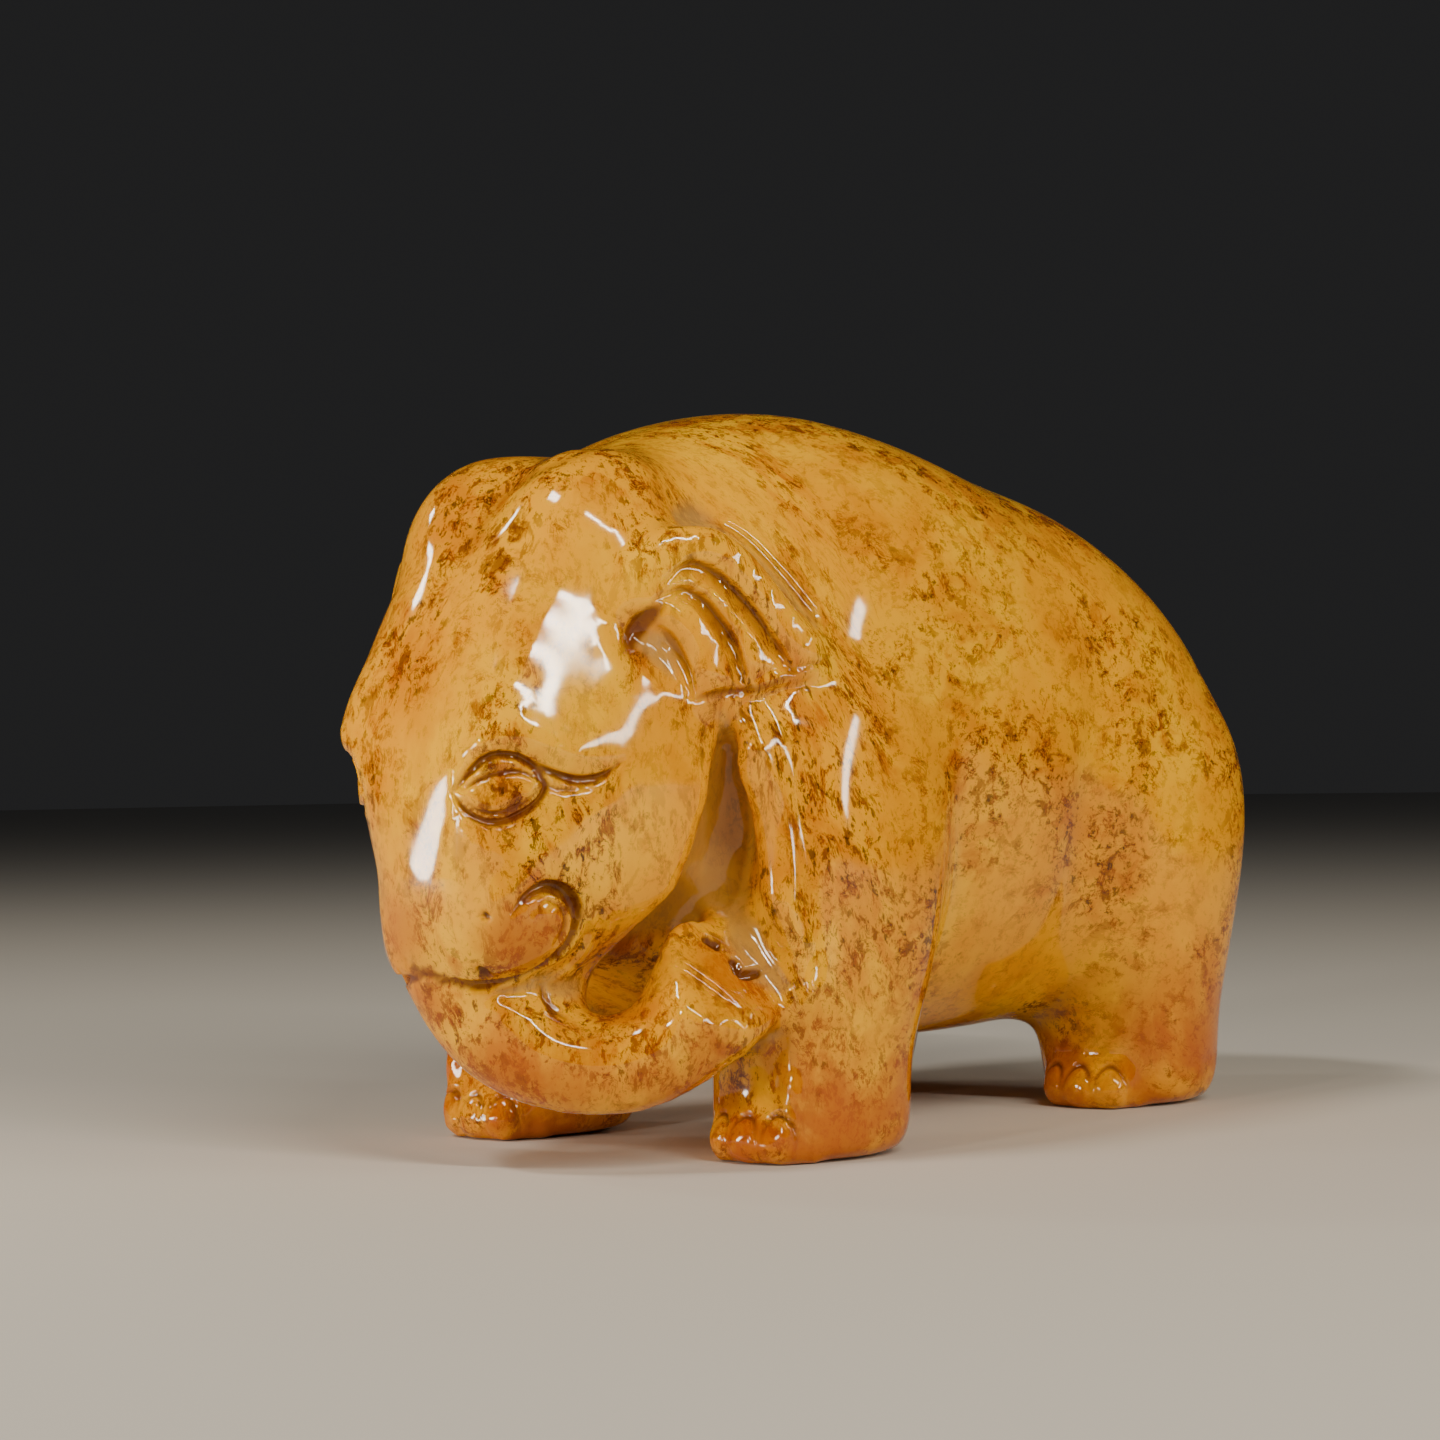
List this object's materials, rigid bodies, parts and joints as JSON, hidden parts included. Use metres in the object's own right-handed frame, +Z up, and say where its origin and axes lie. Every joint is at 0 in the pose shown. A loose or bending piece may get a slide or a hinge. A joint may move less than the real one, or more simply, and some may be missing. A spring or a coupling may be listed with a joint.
{
  "type": "elephant carving",
  "caption": "Polished yellow jade carving of a standing elephant, head lowered, ears folded back and trunk curled to its left; it rests on its flat soles as a desk or hand piece.",
  "frame": {"origin": "the middle of the figure's bounding box, on the plane of its soles", "axes": "+Z up; the elephant looks along -Y, and its left side is at +X"},
  "size_m": [0.0366, 0.077, 0.0477],
  "materials": {
    "jade": "polished"
  },
  "bodies": {
    "root": {"elephant": "jade"}
  },
  "joints": []
}
